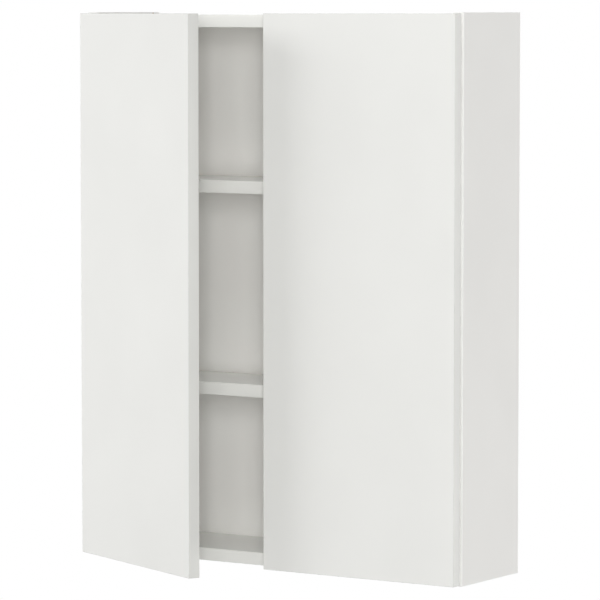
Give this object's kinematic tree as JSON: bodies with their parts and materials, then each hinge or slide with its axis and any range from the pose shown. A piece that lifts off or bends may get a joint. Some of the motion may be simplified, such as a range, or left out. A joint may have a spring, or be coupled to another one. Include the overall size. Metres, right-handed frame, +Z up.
{
  "type": "hanging wall cabinet",
  "caption": "Shallow white wall cabinet with two full-overlay doors on concealed hinges, loose shelves and hidden wall hangers.",
  "frame": {"origin": "centre of the screw holes of the two wall plates, on the wall plane", "axes": "+X to the right along the wall, +Y into the wall, +Z up; the doors face -Y"},
  "size_m": [0.6026, 0.2915, 0.75],
  "materials": {
    "white_foil_board": "particleboard with white satin foil",
    "white_hardboard": "thin fibreboard with white lacquer",
    "nickel_plated_steel": "nickel plated, satin",
    "zinc_plated_steel": "zinc plated",
    "beech_dowel": "bare beech",
    "white_plastic": "moulded, matt",
    "clear_buffer": "translucent soft plastic"
  },
  "bodies": {
    "carcass": {"left_side_panel": "white_foil_board", "right_side_panel": "white_foil_board", "top_panel": "white_foil_board", "bottom_panel": "white_foil_board", "back_panel": "white_hardboard", "upper_shelf": "white_foil_board", "lower_shelf": "white_foil_board", "upper_shelf_pins": "nickel_plated_steel", "lower_shelf_pins": "nickel_plated_steel", "cam_locks": "zinc_plated_steel", "cam_bolts": "zinc_plated_steel", "dowels": "beech_dowel", "left_wall_plate": "zinc_plated_steel", "right_wall_plate": "zinc_plated_steel", "left_hanger_housing": "white_plastic", "right_hanger_housing": "white_plastic", "left_hanger_hook": "zinc_plated_steel", "right_hanger_hook": "zinc_plated_steel", "hanger_screws": "zinc_plated_steel", "left_hanger_cover": "white_plastic", "right_hanger_cover": "white_plastic", "left_hinge_mounting_plates": "nickel_plated_steel", "right_hinge_mounting_plates": "nickel_plated_steel", "hinge_plate_screws": "nickel_plated_steel", "left_hinge_arms": "nickel_plated_steel", "right_hinge_arms": "nickel_plated_steel", "left_hinge_links": "nickel_plated_steel", "right_hinge_links": "nickel_plated_steel", "hinge_rivets": "nickel_plated_steel", "left_hinge_arm_screws": "nickel_plated_steel", "right_hinge_arm_screws": "nickel_plated_steel"},
    "left_door": {"left_door": "white_foil_board", "left_hinge_cups": "nickel_plated_steel", "left_hinge_cup_screws": "nickel_plated_steel", "left_hinge_pins": "nickel_plated_steel", "left_door_bumpers": "clear_buffer"},
    "right_door": {"right_door": "white_foil_board", "right_hinge_cups": "nickel_plated_steel", "right_hinge_cup_screws": "nickel_plated_steel", "right_hinge_pins": "nickel_plated_steel", "right_door_bumpers": "clear_buffer"}
  },
  "joints": [
    {"name": "left_door_hinge", "type": "hinge", "parent": "carcass", "child": "left_door", "pos_m": [-0.2914, -0.1564, -0.2814], "axis": [0, 0, -1], "range_deg": [-25.5, 69.5]},
    {"name": "right_door_hinge", "type": "hinge", "parent": "carcass", "child": "right_door", "pos_m": [0.2914, -0.1564, -0.2814], "axis": [0, 0, 1], "range_deg": [0, 95]}
  ]
}
